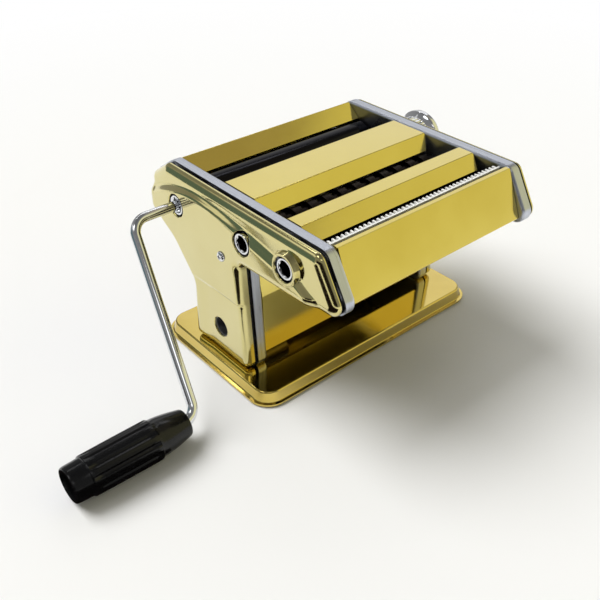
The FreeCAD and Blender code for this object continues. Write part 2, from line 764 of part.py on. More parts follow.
def cam_pin():
    return rod(carrier_in + carrier_t, cam_in + cam_t + 0.6, knob_y - cam_start_r, knob_z, cam_pin_r)


def carrier_tie_bar():
    return rod(-carrier_in, carrier_in, knob_y, tie_bar_z, tie_bar_r)


def carrier_rails():
    rails = []
    x0, x1 = half_gap + web_t, carrier_in + carrier_t - 0.2
    near, far = knob_y - carrier_half_w - sheet_travel - 2, knob_y + carrier_half_w + 2
    for z0, z1 in ((carrier_low - 3.2, carrier_low - 0.1), (carrier_high + 0.1, carrier_high + 3.2)):
        rail = block(x0, x1, near, far, z0, z1)
        rails += [rail, mirrored(rail)]
    return rails


def detent_spring():
    """Leaf spring whose round nose stands just clear of the dial cam's rim."""
    x0, x1 = half_gap + web_t, cam_in + cam_t
    gap = 0.15
    nose_z = knob_z - cam_r - gap - 1.2
    foot = block(x0, x1, knob_y - 22, knob_y - 16, nose_z - 4.0, nose_z - 2.6)
    leaf = block(x1 - 2.0, x1, knob_y - 22, knob_y + 2, nose_z - 2.6, nose_z - 1.8)
    nose = rod(x1 - 2.0, x1, knob_y, nose_z - 0.8, 1.2 + 0.8)
    return join([foot, leaf, nose])


# ---- crank ---------------------------------------------------------------------------------
def crank_rod():
    start = V(crank_in, socket_y, socket_z)
    end = V(grip_out + 11.0, crank_bend_2.y, crank_bend_2.z)
    corners = [(crank_bend_1, crank_bend_r1), (crank_bend_2, crank_bend_r2)]
    path = []
    here, route = start, [start, crank_bend_1, crank_bend_2, end]
    for i, (corner, r) in enumerate(corners):
        u = (route[i] - corner).normalize()
        w = (route[i + 2] - corner).normalize()
        half = u.getAngle(w) / 2
        reach = r / math.tan(half)
        enter, leave = corner + u * reach, corner + w * reach
        middle = corner + (u + w).normalize() * (r / math.sin(half) - r)
        path.append(Part.LineSegment(here, enter).toShape())
        path.append(Part.Arc(enter, middle, leave).toShape())
        here = leave
    path.append(Part.LineSegment(here, end).toShape())
    spine = Part.Wire(path)
    circle = Part.Wire([Part.Circle(start, X_AXIS, crank_rod_r).toShape()])
    solid = spine.makePipeShell([circle], True, False)
    expected = math.pi * crank_rod_r ** 2 * spine.Length
    print("crank rod volume / section times length: %.4f" % (solid.Volume / expected))
    return solid


def crank_hex_drive():
    body = hex_bar(crank_in - hex_len, crank_in, socket_y, socket_z, hex_af - 2 * hex_clear)
    return body.cut(rod(crank_in - hex_len - 1, crank_in + 1, socket_y, socket_z, crank_rod_r))


def crank_grip():
    y, z = crank_bend_2.y, crank_bend_2.z
    bore = crank_rod_r + grip_bore_fit
    waist = grip_in - 23.0
    tail = grip_out + 11.5
    body = turned([(grip_in, bore), (grip_in, 8.4), (grip_in - 1.0, 9.2), (waist, grip_r - 0.4),
                   (waist - 0.8, grip_r), (tail, grip_r - 0.5), (tail - 0.5, grip_r - 1.2),
                   (grip_out + 0.8, 11.4), (grip_out, 10.8), (grip_out, grip_mouth_r),
                   (grip_out + grip_mouth_depth, grip_mouth_r), (grip_out + grip_mouth_depth, bore)], y, z)
    flutes = []
    for k in range(12):
        angle = math.radians(30 * k)
        reach = grip_r + 0.75
        flutes.append(rod(tail + 2.0, waist - 3.0, y + reach * math.cos(angle),
                          z + reach * math.sin(angle), 1.4))
    return body.cut(join(flutes))


def grip_retainer():
    x0 = grip_out + grip_mouth_depth - 0.3
    return tube(x0 - 1.6, x0, crank_bend_2.y, crank_bend_2.z, 6.4, crank_rod_r)


# ---- the whole machine ---------------------------------------------------------------------
os.makedirs("parts", exist_ok=True)

save("base_tray", base_tray())
save("base_mat", base_mat())
save("left_side_plate", mirrored(side_plate(True)))
save("right_side_plate", side_plate(False))
save("left_cover", mirrored(side_cover(True)))
save("right_cover", side_cover(False))
save("cover_posts", Part.Compound([cover_post(), mirrored(cover_post())]))
save("cover_screws", Part.Compound([cover_screw(), mirrored(cover_screw())]))
save("left_bushes", Part.Compound([mirrored(b) for b in roller_bushes(True)]))
save("right_bushes", Part.Compound(roller_bushes(False)))
save("tie_rods", Part.Compound(tie_rods()))
save("tie_rod_screws", Part.Compound(tie_rod_screws()))
save("foot_screws", Part.Compound(foot_screws()))
save("foot_nuts", Part.Compound(foot_nuts()))
save("clamp_socket", clamp_socket())

save("front_panel", front_panel())
save("front_guard", ridge(*front_ridge))
save("middle_guard", ridge(*middle_ridge))
save("back_panel", back_panel())
save("leg_front_sheet", leg_front_sheet())
save("leg_rear_sheet", leg_rear_sheet())
save("sheet_scrapers", Part.Compound(sheet_scrapers()))
save("wide_cutter_combs", Part.Compound(cutter_combs(wide_y, wide_z, wide_step, wide_disc)))
save("fine_cutter_combs", Part.Compound(cutter_combs(fine_y, fine_z, fine_step, fine_disc)))
save("fine_guide_comb", fine_guide_comb())

build_rollers()

save("left_carrier", mirrored(carrier(True)))
save("right_carrier", carrier(False))
save("carrier_tie_bar", carrier_tie_bar())
save("cam_pin", cam_pin())
save("carrier_rails", Part.Compound(carrier_rails()))
save("detent_spring", detent_spring())
save("regulator_cam", regulator_cam())
save("regulator_shaft", regulator_shaft())
save("regulator_bush", regulator_bush())
save("regulator_knob", regulator_knob())
save("knob_screw", knob_screw())

save("crank_rod", crank_rod())
save("crank_hex_drive", crank_hex_drive())
save("crank_grip", crank_grip())
save("grip_retainer", grip_retainer())
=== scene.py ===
import json
import math
import bmesh
import bpy
import numpy as np
from mathutils import Euler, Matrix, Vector
from mathutils.geometry import delaunay_2d_cdt


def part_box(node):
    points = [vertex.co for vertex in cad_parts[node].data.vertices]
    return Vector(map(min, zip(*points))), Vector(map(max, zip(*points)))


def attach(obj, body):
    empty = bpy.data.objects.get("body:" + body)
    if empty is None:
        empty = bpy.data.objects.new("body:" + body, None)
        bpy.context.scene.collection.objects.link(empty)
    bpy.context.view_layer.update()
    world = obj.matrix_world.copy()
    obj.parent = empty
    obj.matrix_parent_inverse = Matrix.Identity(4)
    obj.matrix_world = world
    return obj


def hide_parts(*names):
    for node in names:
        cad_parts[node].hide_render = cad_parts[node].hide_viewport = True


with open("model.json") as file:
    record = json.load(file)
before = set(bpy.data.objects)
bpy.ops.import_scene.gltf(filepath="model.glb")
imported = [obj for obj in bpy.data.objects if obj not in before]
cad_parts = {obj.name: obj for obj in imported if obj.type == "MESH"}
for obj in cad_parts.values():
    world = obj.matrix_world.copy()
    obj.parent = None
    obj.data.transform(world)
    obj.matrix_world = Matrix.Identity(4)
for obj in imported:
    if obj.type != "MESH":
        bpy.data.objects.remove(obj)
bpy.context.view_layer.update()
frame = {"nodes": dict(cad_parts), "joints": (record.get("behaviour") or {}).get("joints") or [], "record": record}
nodes = frame["nodes"]
joints = {joint["name"]: joint for joint in frame["joints"]}
mm = 0.001
scene = bpy.context.scene
print("frame loaded:", len(nodes), "nodes")


def deselectAll():
    if bpy.context.mode != "OBJECT":
        bpy.ops.object.mode_set(mode="OBJECT")
    bpy.ops.object.select_all(action="DESELECT")


def activate(piece):
    deselectAll()
    piece.select_set(True)
    bpy.context.view_layer.objects.active = piece


def editMode(piece, kind="FACE"):
    activate(piece)
    bpy.ops.object.mode_set(mode="EDIT")
    bpy.ops.mesh.select_mode(type=kind)
    bpy.ops.mesh.select_all(action="DESELECT")


def objectMode():
    bpy.ops.object.mode_set(mode="OBJECT")


def applyModifier(piece, kind, **settings):
    activate(piece)
    modifier = piece.modifiers.new(kind.lower(), kind)
    for name, value in settings.items():
        setattr(modifier, name, value)
    bpy.ops.object.modifier_apply(modifier=modifier.name)


def smoothByAngle(piece, degrees=35):
    activate(piece)
    bpy.ops.object.shade_smooth_by_angle(angle=math.radians(degrees))


def placeInMesh(piece):
    activate(piece)
    bpy.ops.object.transform_apply(location=True, rotation=True, scale=True)


def paint(piece, material):
    while piece.data.materials:
        piece.data.materials.pop()
    piece.data.materials.append(material)


def finishPiece(piece, name, body, slot, material, *replaced):
    piece.name = name
    piece.data.name = name
    paint(piece, material)
    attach(piece, body)
    if replaced:
        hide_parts(*replaced)
    return piece


def meshPiece(name, points, faces):
    mesh = bpy.data.meshes.new(name)
    mesh.from_pydata(points, [], faces)
    piece = bpy.data.objects.new(name, mesh)
    scene.collection.objects.link(piece)
    return piece


def newGroup(name, inputs, outputs):
    group = bpy.data.node_groups.new(name, "ShaderNodeTree")
    for label, kind, value in inputs:
        socket = group.interface.new_socket(label, in_out="INPUT", socket_type=kind)
        socket.default_value = value
    for label, kind in outputs:
        group.interface.new_socket(label, in_out="OUTPUT", socket_type=kind)
    return group, group.nodes.new("NodeGroupInput"), group.nodes.new("NodeGroupOutput")


def addNode(tree, kind, values=None, **settings):
    node = tree.nodes.new(kind)
    for name, value in settings.items():
        setattr(node, name, value)
    for name, value in (values or {}).items():
        node.inputs[name].default_value = value
    return node


def addMath(tree, operation, first, second, third=None):
    node = tree.nodes.new("ShaderNodeMath")
    node.operation = operation
    for index, value in enumerate((first, second, third)):
        if value is None:
            continue
        if isinstance(value, (int, float)):
            node.inputs[index].default_value = value
        else:
            tree.links.new(value, node.inputs[index])
    return node.outputs[0]


def handlingGroup():  # soft haze and fine wipe marks on polished sheet
    group, start, end = newGroup(
        "handling", [("Patch Size", "NodeSocketFloat", 30.0), ("Haze", "NodeSocketFloat", 0.03),
                     ("Wipe", "NodeSocketFloat", 0.02)],
        [("Roughness", "NodeSocketFloat"), ("Height", "NodeSocketFloat")])
    place = addNode(group, "ShaderNodeTexCoord")
    cloud = addNode(group, "ShaderNodeTexNoise", {"Detail": 3.0, "Roughness": 0.55})
    group.links.new(place.outputs["Object"], cloud.inputs["Vector"])
    group.links.new(start.outputs["Patch Size"], cloud.inputs["Scale"])
    stretch = addNode(group, "ShaderNodeMapping", {"Rotation": (0.5, 0.3, 0.6), "Scale": (60.0, 900.0, 900.0)})
    group.links.new(place.outputs["Object"], stretch.inputs["Vector"])
    streak = addNode(group, "ShaderNodeTexNoise", {"Scale": 1.0, "Detail": 2.0})
    group.links.new(stretch.outputs["Vector"], streak.inputs["Vector"])
    hazed = addMath(group, "MULTIPLY", cloud.outputs["Fac"], start.outputs["Haze"])
    wiped = addMath(group, "MULTIPLY", streak.outputs["Fac"], start.outputs["Wipe"])
    group.links.new(addMath(group, "ADD", hazed, wiped), end.inputs["Roughness"])
    group.links.new(cloud.outputs["Fac"], end.inputs["Height"])
    return group


def grainGroup():  # drawn or brushed lines along one axis
    group, start, end = newGroup(
        "drawnGrain", [("Across", "NodeSocketVector", (1.0, 1.0, 1.0)), ("Depth", "NodeSocketFloat", 1.0)],
        [("Tone", "NodeSocketFloat"), ("Height", "NodeSocketFloat")])
    place = addNode(group, "ShaderNodeTexCoord")
    scaled = addNode(group, "ShaderNodeVectorMath", operation="MULTIPLY")
    group.links.new(place.outputs["Object"], scaled.inputs[0])
    group.links.new(start.outputs["Across"], scaled.inputs[1])
    lines = addNode(group, "ShaderNodeTexNoise", {"Scale": 1.0, "Detail": 4.0, "Roughness": 0.6})
    group.links.new(scaled.outputs["Vector"], lines.inputs["Vector"])
    group.links.new(lines.outputs["Fac"], end.inputs["Tone"])
    group.links.new(addMath(group, "MULTIPLY", lines.outputs["Fac"], start.outputs["Depth"]), end.inputs["Height"])
    return group


def edgeWearGroup():  # where the shape turns sharply
    group, start, end = newGroup(
        "edgeWear", [("Width", "NodeSocketFloat", 0.0006), ("Break Up", "NodeSocketFloat", 400.0)],
        [("Mask", "NodeSocketFloat")])
    rounded = addNode(group, "ShaderNodeBevel", samples=4)
    group.links.new(start.outputs["Width"], rounded.inputs["Radius"])
    shape = addNode(group, "ShaderNodeNewGeometry")
    agree = addNode(group, "ShaderNodeVectorMath", operation="DOT_PRODUCT")
    group.links.new(rounded.outputs["Normal"], agree.inputs[0])
    group.links.new(shape.outputs["Normal"], agree.inputs[1])
    turned = addMath(group, "SUBTRACT", 1.0, agree.outputs["Value"])
    place = addNode(group, "ShaderNodeTexCoord")
    speckle = addNode(group, "ShaderNodeTexNoise", {"Detail": 3.0})
    group.links.new(place.outputs["Object"], speckle.inputs["Vector"])
    group.links.new(start.outputs["Break Up"], speckle.inputs["Scale"])
    amount = addMath(group, "MULTIPLY", turned, 9.0)
    group.links.new(addMath(group, "MULTIPLY", amount, speckle.outputs["Fac"]), end.inputs["Mask"])
    return group


handling, grain, edgeWear = handlingGroup(), grainGroup(), edgeWearGroup()


def useGroup(tree, group, **values):
    node = tree.nodes.new("ShaderNodeGroup")
    node.node_tree = group
    for name, value in values.items():
        node.inputs[name.replace("_", " ")].default_value = value
    return node


def newMaterial(name, **sockets):
    material = bpy.data.materials.new(name)
    material.use_nodes = True
    tree = material.node_tree
    shader = tree.nodes["Principled BSDF"]
    for label, value in sockets.items():
        shader.inputs[label.replace("_", " ")].default_value = value
    return material, tree, shader


def addBump(tree, shader, height, distance, strength=1.0):
    bump = addNode(tree, "ShaderNodeBump", {"Distance": distance, "Strength": strength})
    tree.links.new(height, bump.inputs["Height"])
    tree.links.new(bump.outputs["Normal"], shader.inputs["Normal"])


def mixColors(tree, factor, low, high):
    mix = addNode(tree, "ShaderNodeMix", data_type="RGBA")
    tree.links.new(factor, mix.inputs["Factor"])
    mix.inputs[6].default_value = low
    mix.inputs[7].default_value = high
    return mix.outputs[2]


def remap(tree, value, low, high, toLow=0.0, toHigh=1.0):
    node = addNode(tree, "ShaderNodeMapRange", {"From Min": low, "From Max": high, "To Min": toLow, "To Max": toHigh})
    tree.links.new(value, node.inputs["Value"])
    return node.outputs["Result"]


def goldFinish(name, tint, deepTint, polish, wave):
    material, tree, shader = newMaterial(name, Metallic=1.0, Coat_Weight=1.0, Coat_Roughness=0.04, Coat_IOR=1.5)
    marks = useGroup(tree, handling, Patch_Size=24.0, Haze=polish * 0.9, Wipe=polish * 0.5)
    rough = addMath(tree, "ADD", marks.outputs["Roughness"], polish * 0.55)
    tree.links.new(rough, shader.inputs["Roughness"])
    tree.links.new(mixColors(tree, remap(tree, marks.outputs["Height"], 0.35, 0.65), deepTint, tint),
                   shader.inputs["Base Color"])
    addBump(tree, shader, marks.outputs["Height"], wave)
    return material


def steelFinish(name, tint, darkTint, rough, across, depth, spread=0.12):
    material, tree, shader = newMaterial(name, Metallic=1.0)
    lines = useGroup(tree, grain, Across=across, Depth=1.0)
    tree.links.new(mixColors(tree, remap(tree, lines.outputs["Tone"], 0.35, 0.65), darkTint, tint),
                   shader.inputs["Base Color"])
    tree.links.new(remap(tree, lines.outputs["Tone"], 0.3, 0.7, rough, rough + spread), shader.inputs["Roughness"])
    addBump(tree, shader, lines.outputs["Height"], depth)
    return material


def chromeFinish(name, tint, rough):
    material, tree, shader = newMaterial(name, Metallic=1.0)
    marks = useGroup(tree, handling, Patch_Size=90.0, Haze=rough, Wipe=rough * 0.6)
    worn = useGroup(tree, edgeWear, Width=0.0004, Break_Up=700.0)
    tree.links.new(mixColors(tree, worn.outputs["Mask"], tint, (0.62, 0.62, 0.63, 1)), shader.inputs["Base Color"])
    tree.links.new(addMath(tree, "ADD", marks.outputs["Roughness"], rough * 0.4), shader.inputs["Roughness"])
    addBump(tree, shader, marks.outputs["Height"], 0.00004)
    return material


def plasticFinish(name, tint, paleTint, rough, specular, bumpDepth, bumpSize):
    material, tree, shader = newMaterial(name, Specular_IOR_Level=specular)
    place = addNode(tree, "ShaderNodeTexCoord")
    speck = addNode(tree, "ShaderNodeTexNoise", {"Scale": bumpSize, "Detail": 4.0})
    tree.links.new(place.outputs["Object"], speck.inputs["Vector"])
    worn = useGroup(tree, edgeWear, Width=0.0005, Break_Up=500.0)
    tree.links.new(mixColors(tree, worn.outputs["Mask"], tint, paleTint), shader.inputs["Base Color"])
    tree.links.new(remap(tree, speck.outputs["Fac"], 0.3, 0.7, rough, rough + 0.1), shader.inputs["Roughness"])
    addBump(tree, shader, speck.outputs["Fac"], bumpDepth)
    return material


finishes = {
    "coverGold": goldFinish("polishedGoldCover", (0.70, 0.625, 0.27, 1), (0.67, 0.59, 0.235, 1), 0.10, 0.00012),
    "sheetGold": goldFinish("goldSheet", (0.74, 0.60, 0.125, 1), (0.70, 0.56, 0.105, 1), 0.13, 0.00006),
    "baseGold": goldFinish("goldBase", (0.70, 0.53, 0.115, 1), (0.64, 0.47, 0.085, 1), 0.08, 0.00012),
    "sideSteel": steelFinish("satinSideSteel", (0.60, 0.63, 0.70, 1), (0.50, 0.525, 0.59, 1), 0.26,
                             (900.0, 25.0, 25.0), 0.000015),
    # painted shade: the sheet rollers and cutter rollers get near-black tints that stand for the shade inside the slots
    # they sit in, not the steel's own colour
    "rollerSteelSlotShade": chromeFinish("rollerSteelPaintedShade", (0.014, 0.014, 0.017, 1), 0.12),
    "cutterSteelSlotShade": steelFinish("cutterSteelPaintedShade", (0.035, 0.026, 0.02, 1), (0.014, 0.011, 0.01, 1), 0.34,
                               (1500.0, 200.0, 200.0), 0.00003),
    "gearSteel": steelFinish("gearSteel", (0.42, 0.42, 0.43, 1), (0.30, 0.30, 0.31, 1), 0.35,
                             (500.0, 500.0, 500.0), 0.00004),
    "plainSteel": steelFinish("zincSteel", (0.56, 0.57, 0.58, 1), (0.44, 0.45, 0.47, 1), 0.30,
                              (400.0, 400.0, 400.0), 0.00003),
    "crankChrome": chromeFinish("crankChrome", (0.80, 0.81, 0.83, 1), 0.06),
    "bushPlastic": plasticFinish("bushPlastic", (0.012, 0.012, 0.013, 1), (0.05, 0.05, 0.05, 1),
                                 0.45, 0.25, 0.00004, 900.0),
    "combPlastic": plasticFinish("combPlastic", (0.80, 0.80, 0.78, 1), (0.88, 0.88, 0.86, 1),
                                 0.38, 0.5, 0.00003, 700.0),
    "gripPlastic": plasticFinish("glossyGrip", (0.003, 0.003, 0.0035, 1), (0.012, 0.012, 0.013, 1),
                                 0.14, 0.35, 0.00001, 500.0),
    "matRubber": plasticFinish("matRubber", (0.03, 0.03, 0.03, 1), (0.06, 0.06, 0.06, 1),
                               0.75, 0.3, 0.00012, 1200.0),
}
print("finishes made:", len(finishes))


def softenedCopy(node, width, dissolve=True):
    piece = nodes[node].copy()
    piece.data = nodes[node].data.copy()
    piece.parent = None
    for key in list(piece.keys()):
        del piece[key]
    scene.collection.objects.link(piece)
    activate(piece)
    if piece.data.has_custom_normals:
        bpy.ops.mesh.customdata_custom_splitnormals_clear()
    editMode(piece)
    bpy.ops.mesh.select_all(action="SELECT")
    bpy.ops.mesh.remove_doubles(threshold=1e-6)
    if dissolve:
        bpy.ops.mesh.dissolve_limited(angle_limit=math.radians(0.6))
    objectMode()
    if width:
        applyModifier(piece, "BEVEL", width=width * mm, segments=2, limit_method="ANGLE",
                      angle_limit=math.radians(40), harden_normals=False, use_clamp_overlap=True)
    smoothByAngle(piece, 38)
    applyModifier(piece, "WEIGHTED_NORMAL", keep_sharp=True, weight=80)
    return piece


carriedOver = {  # node: (edge softening in mm, slot, finish)
    "left_side_plate": (0.22, "side_steel", "sideSteel"),
    "right_side_plate": (0.22, "side_steel", "sideSteel"),
    "base_tray": (0.25, "gold_sheet", "baseGold"),
    "base_mat": (0.2, "mat_rubber", "matRubber"),
    "front_panel": (0.18, "gold_sheet", "sheetGold"),
    "front_guard": (0.18, "gold_sheet", "sheetGold"),
    "middle_guard": (0.18, "gold_sheet", "sheetGold"),
    "back_panel": (0.18, "gold_sheet", "sheetGold"),
    "leg_front_sheet": (0.18, "gold_sheet", "sheetGold"),
    "leg_rear_sheet": (0.18, "gold_sheet", "sheetGold"),
    "sheet_scrapers": (0.12, "side_steel", "plainSteel"),
    "clamp_socket": (0.3, "plain_steel", "plainSteel"),
    "cover_screws": (0.12, "crank_chrome", "crankChrome"),
    # the fine guide comb is white plastic; its white teeth also stand for the painted highlight on the fine cutter's
    # ring crowns
    "fine_guide_comb": (0.12, "comb_plastic", "combPlastic"),
    "drive_sheet_roller": (0.2, "roller_chrome", "rollerSteelSlotShade"),
    "adjusting_sheet_roller": (0.2, "roller_chrome", "rollerSteelSlotShade"),
    "wide_cutter_rear_roller": (0.15, "cutter_steel", "cutterSteelSlotShade"),
    "wide_cutter_front_roller": (0.15, "cutter_steel", "cutterSteelSlotShade"),
    "fine_cutter_rear_roller": (0.1, "cutter_steel", "cutterSteelSlotShade"),
    "fine_cutter_front_roller": (0.1, "cutter_steel", "cutterSteelSlotShade"),
    "crank_hex_drive": (0.2, "crank_chrome", "crankChrome"),
    "grip_retainer": (0.15, "crank_chrome", "crankChrome"),
    "knob_screw": (0.15, "crank_chrome", "crankChrome"),
    "regulator_bush": (0.2, "bush_plastic", "bushPlastic"),
}
bodyOf = {node: body for body, members in frame["record"]["behaviour"]["bodies"].items() for node in members}
ringStart = 0.080  # the crank sockets' bright rings lie further out than this
for node, (width, slot, finish) in carriedOver.items():
    copied = softenedCopy(node, width)
    finishPiece(copied, node + "_finished", bodyOf[node], slot, finishes[finish], node)
    if finish in ("rollerSteelSlotShade", "cutterSteelSlotShade"):
        copied.data.materials.append(finishes["crankChrome"])
        for face in copied.data.polygons:
            face.material_index = int(abs(face.center.x) > ringStart)
print("carried-over pieces:", len(carriedOver))

slotFinish = {
    "gold_sheet": "sheetGold", "side_steel": "plainSteel", "roller_chrome": "rollerSteelSlotShade",
    "cutter_steel": "cutterSteelSlotShade", "gear_steel": "gearSteel", "bush_plastic": "bushPlastic",
    "comb_plastic": "combPlastic", "plain_steel": "plainSteel", "crank_chrome": "crankChrome",
    "grip_black": "gripPlastic", "mat_rubber": "matRubber",
}
for row in frame["record"]["subparts"]:  # the inner pieces keep their CAD mesh and get their finish
    paint(nodes[row["node"]], finishes[slotFinish[row["material_slot"]]])


coverShape = {
    "corners": [(-97.0, 134.5, 8.0), (57.0, 134.5, 8.0), (77.0, 121.0, 9.0), (77.0, 95.0, 8.0),
                (50.0, 80.5, 30.0), (29.0, 57.0, 14.0), (31.0, 10.0, 5.5), (-31.0, 10.0, 5.5),
                (-25.0, 94.5, 5.0), (-119.5, 97.5, 8.0)],  # y, z and corner radius, in mm
    "rimGap": 0.9, "edgeDrop": 4.6, "edgeWidth": 6.6, "legEdgeWidth": 4.2, "wall": 1.0,
    "upper": 92.0, "arm": 95.4, "leg": 94.0, "rim": 87.1, "legStep": (60.5, 63.5), "groove": 62.0, "grooveDepth": 0.8,
    "rampHigh": [(84, 109), (60, 119.5), (30, 126.3), (0, 126.3), (-34, 123.3), (-60, 118.6),
                 (-80, 114.5), (-92, 107.5), (-106, 102), (-126, 96.5)],
    "rampLow": [(84, 96), (60, 111.5), (30, 121.2), (0, 121.5), (-34, 114.5), (-60, 110),
                (-80, 106), (-92, 101.5), (-106, 98.4), (-126, 93.5)],
    "holeRadius": 8.25, "clampRadius": 7.5, "screwRadius": 1.7, "bossWidth": 2.3, "bossHeight": 0.5,
    "pitch": 1.0, "rings": 10, "lip": 0.35, "rimStep": 1.3, "rimFoot": 85.0,
}


def roundedOutline(corners, inward, pitch):
    # points of the outline moved inwards, evenly spaced along lines and corner arcs
    count = len(corners)
    lines = []
    for index in range(count):
        a = np.array(corners[index][:2])
        b = np.array(corners[(index + 1) % count][:2])
        along = (b - a) / np.linalg.norm(b - a)
        lines.append((a + inward * np.array([along[1], -along[0]]), along))
    stretches = []
    for index in range(count):
        (p, u), (q, v) = lines[index - 1], lines[index]
        cross = u[0] * v[1] - u[1] * v[0]
        t = ((q - p)[0] * v[1] - (q - p)[1] * v[0]) / cross
        corner = p + u * t
        radius = corners[index][2] + (inward if cross > 0 else -inward)
        turn = math.acos(max(-1.0, min(1.0, float(u @ v))))
        reach = radius * math.tan(turn / 2)
        side = 1.0 if cross > 0 else -1.0
        centre = corner - u * reach + radius * side * np.array([-u[1], u[0]])
        start = corner - u * reach - centre
        steps = max(3, int(math.ceil(radius * turn / pitch)), int(math.ceil(math.degrees(turn) / 9)))
        arc = []
        for step in range(steps + 1):
            angle = side * turn * step / steps
            c, s = math.cos(angle), math.sin(angle)
            arc.append(centre + np.array([start[0] * c - start[1] * s, start[0] * s + start[1] * c]))
        stretches.append(arc)
    points = []
    for index in range(count):
        arc, following = stretches[index], stretches[(index + 1) % count]
        points += arc
        gap = following[0] - arc[-1]
        steps = int(math.ceil(np.linalg.norm(gap) / pitch))
        points += [arc[-1] + gap * step / steps for step in range(1, steps)]
    return np.array(points)


def nearestDistance(points, outline):
    a, b = outline, np.roll(outline, -1, axis=0)
    ab = b - a
    best = np.full(len(points), 1e9)
    for start, step in zip(a, ab):
        t = np.clip(((points - start) @ step) / (step @ step), 0, 1)
        best = np.minimum(best, np.linalg.norm(points - start - t[:, None] * step, axis=1))
    return best


def insideOutline(points, outline):
    y, z = points[:, 0], points[:, 1]
    inside = np.zeros(len(points), bool)
    for (y0, z0), (y1, z1) in zip(outline, np.roll(outline, -1, axis=0)):
        crosses = (z0 > z) != (z1 > z)
        inside ^= crosses & (y < (y1 - y0) * (z - z0) / np.where(crosses, z1 - z0, 1.0) + y0)
    return inside


def easeCurve(t):
    t = np.clip(t, 0, 1)
    return t * t * t * (10 - 15 * t + 6 * t * t)


def smoothLine(table, y):
    # a smooth curve through a table of (y, z) points
    ys = np.array([row[0] for row in table][::-1], float)
    zs = np.array([row[1] for row in table][::-1], float)
    slope = np.gradient(zs, ys)
    index = np.clip(np.searchsorted(ys, y) - 1, 0, len(ys) - 2)
    width = ys[index + 1] - ys[index]
    t = (y - ys[index]) / width
    return ((2 * t ** 3 - 3 * t ** 2 + 1) * zs[index] + (t ** 3 - 2 * t ** 2 + t) * width * slope[index]
            + (-2 * t ** 3 + 3 * t ** 2) * zs[index + 1] + (t ** 3 - t ** 2) * width * slope[index + 1])


def coverLevel(points, holes, shape):
    # how far out the pressed face stands at each point
    y, z = points[:, 0], points[:, 1]
    low, high = smoothLine(shape["rampLow"], y), smoothLine(shape["rampHigh"], y)
    share = easeCurve((z - low) / (high - low))
    level = shape["arm"] + (shape["upper"] - shape["arm"]) * share
    foot, top = shape["legStep"]
    below = easeCurve((top - z) / (top - foot)) * (1 - 0.75 * easeCurve((y - 8) / 20))
    level = level + (shape["leg"] - shape["arm"]) * below
    groove = np.exp(-((z - shape["groove"]) / 0.75) ** 2)  # the line across the leg ends before its rear edge
    level = level - shape["grooveDepth"] * groove * (1 - easeCurve((y - 2) / 10)) * easeCurve((y + 34) / 4)
    for centre, radius, boss in holes:
        away = np.linalg.norm(points - np.array(centre), axis=1) - radius
        if boss:
            rise = 1 - easeCurve((away - shape["bossWidth"] + 0.6) / 1.2)
            level = level * (1 - rise) + (shape["arm"] + shape["bossHeight"]) * rise
        if radius > 3:
            level = level - shape["lip"] * (1 - np.clip(away / 0.5, 0, 1)) ** 2
    return level


